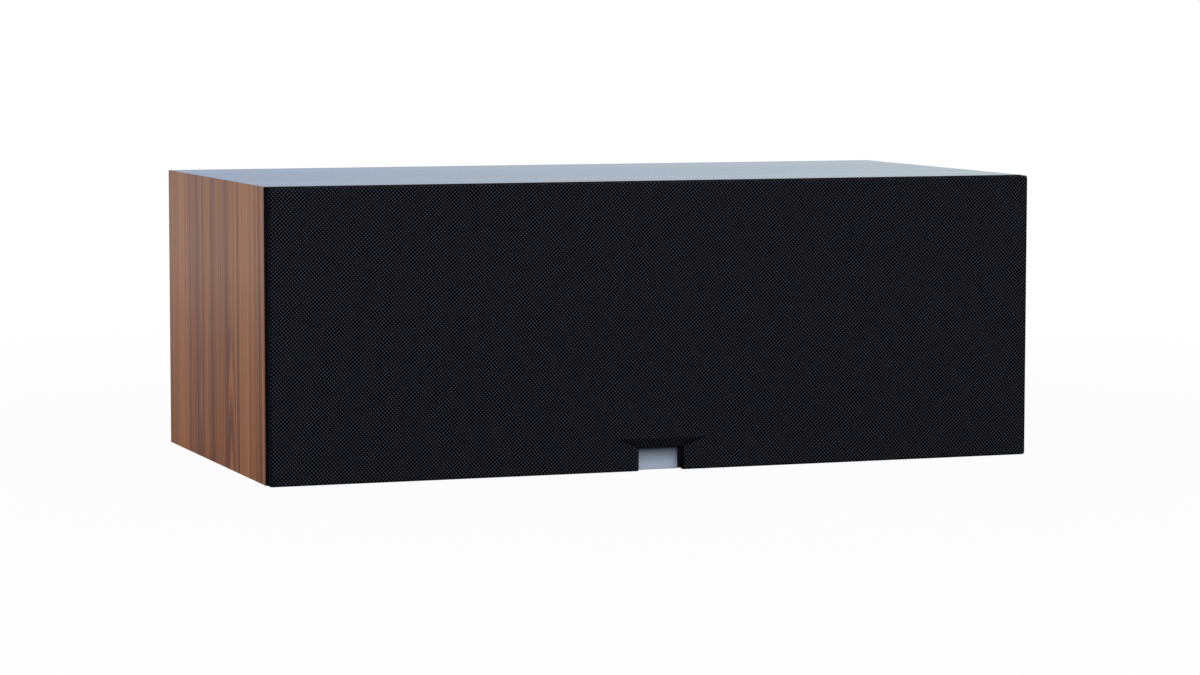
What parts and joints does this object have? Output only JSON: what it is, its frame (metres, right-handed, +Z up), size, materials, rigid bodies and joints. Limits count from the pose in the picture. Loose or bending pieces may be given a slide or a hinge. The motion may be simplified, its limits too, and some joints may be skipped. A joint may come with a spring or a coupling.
{
  "type": "centre channel loudspeaker",
  "caption": "Wide low loudspeaker with a walnut wrapped cabinet, a cloth grille that pulls off, woofers beside a horn loaded tweeter, rear ports and screw terminals.",
  "frame": {"origin": "middle of the bounding box in X and Y, on the plane the cabinet stands on", "axes": "+X along the cabinet to the listener's right, -Y towards the listener, +Z up"},
  "size_m": [0.53, 0.268, 0.19],
  "materials": {
    "walnut": "walnut veneer pattern, satin clear coat",
    "black_baffle": "black laminate, satin",
    "inner_board": "bare fibreboard",
    "black_trim": "satin black",
    "black_moulding": "fine grained black",
    "basket_steel": "black powder coat on steel",
    "surround_rubber": "matt",
    "cone_paper": "pressed fibre, dark",
    "spider_cloth": "resin treated cloth",
    "coil_copper": "enamelled copper wire",
    "motor_steel": "zinc plated",
    "ferrite": "pressed ferrite",
    "bright_magnet": "nickel plated",
    "wadding_fibre": "loose polyester",
    "dome_aluminium": "satin",
    "post_brass": "gold plated",
    "red_knob": "clear red",
    "black_knob": "black",
    "board_laminate": "green solder mask",
    "capacitor_sleeve": "shrink sleeve",
    "capacitor_case": "moulded case",
    "resistor_ceramic": "cement",
    "black_screws": "black zinc",
    "tab_tin": "tin plated",
    "lead_jacket": "flexible jacket",
    "grille_moulding": "black",
    "grille_cloth": "open weave, dark charcoal",
    "badge_aluminium": "brushed, bare"
  },
  "bodies": {
    "cabinet": {"badge_plate": "badge_aluminium", "baffle_magnets": "bright_magnet", "black_post": "post_brass", "board_spacers": "black_moulding", "brace_left": "inner_board", "brace_right": "inner_board", "cabinet_sleeve": "walnut", "crossover_board": "board_laminate", "front_baffle": "black_baffle", "leads": "lead_jacket", "port_left": "black_moulding", "port_right": "black_moulding", "post_nuts": "post_brass", "rear_panel": "walnut", "red_post": "post_brass", "small_screws": "black_screws", "terminal_cup": "black_moulding", "terminal_tabs": "tab_tin", "tweeter_capacitor": "capacitor_case", "tweeter_faceplate": "black_moulding", "tweeter_front_plate": "motor_steel", "tweeter_inductor": "coil_copper", "tweeter_magnet": "ferrite", "tweeter_rear_cup": "black_moulding", "tweeter_resistor": "resistor_ceramic", "tweeter_surround": "surround_rubber", "tweeter_yoke": "motor_steel", "wadding": "wadding_fibre", "woofer_capacitor": "capacitor_sleeve", "woofer_inductor": "coil_copper", "woofer_left_basket": "basket_steel", "woofer_left_front_plate": "motor_steel", "woofer_left_magnet": "ferrite", "woofer_left_spider": "spider_cloth", "woofer_left_surround": "surround_rubber", "woofer_left_trim_ring": "black_trim", "woofer_left_yoke": "motor_steel", "woofer_right_basket": "basket_steel", "woofer_right_front_plate": "motor_steel", "woofer_right_magnet": "ferrite", "woofer_right_spider": "spider_cloth", "woofer_right_surround": "surround_rubber", "woofer_right_trim_ring": "black_trim", "woofer_right_yoke": "motor_steel", "woofer_screws": "black_screws"},
    "grille": {"grille_frame": "grille_moulding", "grille_cloth": "grille_cloth", "grille_magnets": "bright_magnet"},
    "left_cone": {"woofer_left_cone": "cone_paper", "woofer_left_dust_cap": "cone_paper", "woofer_left_voice_coil": "coil_copper"},
    "right_cone": {"woofer_right_cone": "cone_paper", "woofer_right_dust_cap": "cone_paper", "woofer_right_voice_coil": "coil_copper"},
    "tweeter_diaphragm": {"tweeter_dome": "dome_aluminium", "tweeter_voice_coil": "coil_copper"},
    "red_thread": {"red_insert": "post_brass"},
    "red_knob": {"red_cap": "red_knob"},
    "black_thread": {"black_insert": "post_brass"},
    "black_knob": {"black_cap": "black_knob"}
  },
  "joints": [
    {"name": "grille_pull", "type": "slide", "parent": "cabinet", "child": "grille", "axis": [0, -1, 0], "range_m": [0, 0.12]},
    {"name": "left_cone_travel", "type": "slide", "parent": "cabinet", "child": "left_cone", "axis": [0, -1, 0], "range_m": [-0.004, 0.004], "stiffness_N_per_m": 1000, "deforming": ["woofer_left_surround", "woofer_left_spider"]},
    {"name": "right_cone_travel", "type": "slide", "parent": "cabinet", "child": "right_cone", "axis": [0, -1, 0], "range_m": [-0.004, 0.004], "stiffness_N_per_m": 1000, "deforming": ["woofer_right_surround", "woofer_right_spider"]},
    {"name": "tweeter_travel", "type": "slide", "parent": "cabinet", "child": "tweeter_diaphragm", "axis": [0, -1, 0], "range_m": [-0.0004, 0.0004], "stiffness_N_per_m": 2000, "deforming": ["tweeter_surround"]},
    {"name": "red_thread_travel", "type": "slide", "parent": "cabinet", "child": "red_thread", "axis": [0, 1, 0], "range_m": [0, 0.00501]},
    {"name": "red_knob_turn", "type": "hinge", "parent": "red_thread", "child": "red_knob", "pos_m": [-0.00953, 0.1235, 0.095], "axis": [0, 1, 0], "range_deg": [0, 1440]},
    {"name": "black_thread_travel", "type": "slide", "parent": "cabinet", "child": "black_thread", "axis": [0, 1, 0], "range_m": [0, 0.00501]},
    {"name": "black_knob_turn", "type": "hinge", "parent": "black_thread", "child": "black_knob", "pos_m": [0.00953, 0.1235, 0.095], "axis": [0, 1, 0], "range_deg": [0, 1440]}
  ],
  "couplings": [
    {"joint": "red_thread_travel", "follows": "red_knob_turn", "m_per_rad": 0.00019894},
    {"joint": "black_thread_travel", "follows": "black_knob_turn", "m_per_rad": 0.00019894}
  ]
}
